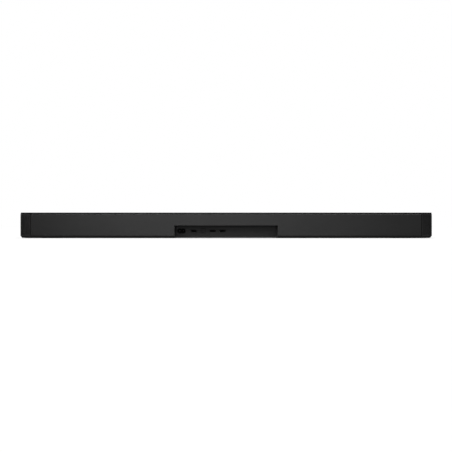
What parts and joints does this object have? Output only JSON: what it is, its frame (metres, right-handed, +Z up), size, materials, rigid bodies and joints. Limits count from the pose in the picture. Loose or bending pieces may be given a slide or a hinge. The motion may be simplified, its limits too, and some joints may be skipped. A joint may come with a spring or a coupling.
{
  "type": "soundbar",
  "caption": "Long low black soundbar with a perforated wrap-round grille, a smooth rear panel and a cable recess holding its sockets.",
  "frame": {"origin": "on the floor below the middle of the bar", "axes": "+X along the bar, +Z up, the grille faces -Y and the sockets face +Y"},
  "size_m": [0.98, 0.105, 0.061],
  "materials": {
    "casing_plastic": "fine spark-eroded texture",
    "lid_plastic": "fine matt texture",
    "panel_plastic": "smooth matt",
    "port_plastic": "fine matt texture",
    "grille_paint": "fine powder coat",
    "scrim_cloth": "woven",
    "inner_plastic": "matt",
    "foot_rubber": "matt",
    "screw_steel": "black zinc",
    "insert_brass": "satin",
    "button_plastic": "satin",
    "bezel_plastic": "gloss",
    "plunger_plastic": "satin",
    "circuit_board": "solder mask",
    "chip_resin": "matt",
    "shield_metal": "tinned",
    "heat_sink_alloy": "satin",
    "core_steel": "lacquered",
    "can_sleeve": "gloss",
    "display_window": "smoked gloss",
    "pin_nickel": "bright",
    "shell_nickel": "satin",
    "tongue_plastic": "satin",
    "basket_paint": "satin",
    "cone_paper": "pressed fibre",
    "surround_rubber": "matt",
    "magnet_ferrite": "zinc plates on ferrite",
    "dome_silk": "coated weave",
    "wire_jacket": "satin",
    "lead_jacket": "satin",
    "ribbon_film": "satin"
  },
  "bodies": {
    "casing": {"top_cover": "lid_plastic", "bottom_housing": "casing_plastic", "rear_panel": "panel_plastic", "port_panel": "port_plastic", "front_grille": "grille_paint", "grille_scrim": "scrim_cloth", "front_baffle": "inner_plastic", "left_end_frame": "inner_plastic", "right_end_frame": "inner_plastic", "chamber_walls": "inner_plastic", "rubber_feet": "foot_rubber", "screw_posts": "inner_plastic", "base_screws": "screw_steel", "driver_screws": "screw_steel", "board_screws": "screw_steel", "bracket_inserts": "insert_brass", "button_bezel": "bezel_plastic", "button_board": "circuit_board", "tact_switches": "chip_resin", "display_board": "circuit_board", "display_module": "display_window", "main_board": "circuit_board", "main_board_chips": "chip_resin", "wireless_module": "shield_metal", "heat_sink": "heat_sink_alloy", "power_board": "circuit_board", "transformer": "core_steel", "capacitors": "can_sleeve", "power_inlet": "tongue_plastic", "inlet_pins": "pin_nickel", "usb_socket": "shell_nickel", "hdmi_sockets": "shell_nickel", "socket_tongues": "tongue_plastic", "optical_jack": "tongue_plastic", "woofer_magnets": "magnet_ferrite", "speaker_wires": "wire_jacket", "power_leads": "lead_jacket", "ribbon_cables": "ribbon_film", "left_woofer_basket": "basket_paint", "left_woofer_surround": "surround_rubber", "left_tweeter_body": "basket_paint", "right_woofer_basket": "basket_paint", "right_woofer_surround": "surround_rubber", "right_tweeter_body": "basket_paint"},
    "power_key": {"power_button": "button_plastic", "power_plunger": "plunger_plastic"},
    "source_key": {"source_button": "button_plastic", "source_plunger": "plunger_plastic"},
    "volume_down_key": {"volume_down_button": "button_plastic", "volume_down_plunger": "plunger_plastic"},
    "volume_up_key": {"volume_up_button": "button_plastic", "volume_up_plunger": "plunger_plastic"},
    "shutter": {"optical_shutter": "tongue_plastic"},
    "left_cone": {"left_woofer_cone": "cone_paper"},
    "right_cone": {"right_woofer_cone": "cone_paper"},
    "left_dome": {"left_tweeter_dome": "dome_silk"},
    "right_dome": {"right_tweeter_dome": "dome_silk"}
  },
  "joints": [
    {"name": "power_press", "type": "slide", "parent": "casing", "child": "power_key", "axis": [0, 0, -1], "range_m": [0, 0.0006], "stiffness_N_per_m": 400, "springref_m": -0.001},
    {"name": "source_press", "type": "slide", "parent": "casing", "child": "source_key", "axis": [0, 0, -1], "range_m": [0, 0.0006], "stiffness_N_per_m": 400, "springref_m": -0.001},
    {"name": "volume_down_press", "type": "slide", "parent": "casing", "child": "volume_down_key", "axis": [0, 0, -1], "range_m": [0, 0.0006], "stiffness_N_per_m": 400, "springref_m": -0.001},
    {"name": "volume_up_press", "type": "slide", "parent": "casing", "child": "volume_up_key", "axis": [0, 0, -1], "range_m": [0, 0.0006], "stiffness_N_per_m": 400, "springref_m": -0.001},
    {"name": "shutter_swing", "type": "hinge", "parent": "casing", "child": "shutter", "pos_m": [0.0544, 0.0266, 0.022], "axis": [-1, 0, 0], "range_deg": [0, 85], "stiffness_Nm_per_rad": 0.0001, "springref_deg": -11.46},
    {"name": "left_cone_stroke", "type": "slide", "parent": "casing", "child": "left_cone", "axis": [0, -1, 0], "range_m": [-0.0025, 0.0025], "stiffness_N_per_m": 900},
    {"name": "right_cone_stroke", "type": "slide", "parent": "casing", "child": "right_cone", "axis": [0, -1, 0], "range_m": [-0.0025, 0.0025], "stiffness_N_per_m": 900},
    {"name": "left_dome_stroke", "type": "slide", "parent": "casing", "child": "left_dome", "axis": [0, -1, 0], "range_m": [-0.0002, 0.0002], "stiffness_N_per_m": 1000},
    {"name": "right_dome_stroke", "type": "slide", "parent": "casing", "child": "right_dome", "axis": [0, -1, 0], "range_m": [-0.0002, 0.0002], "stiffness_N_per_m": 1000}
  ]
}
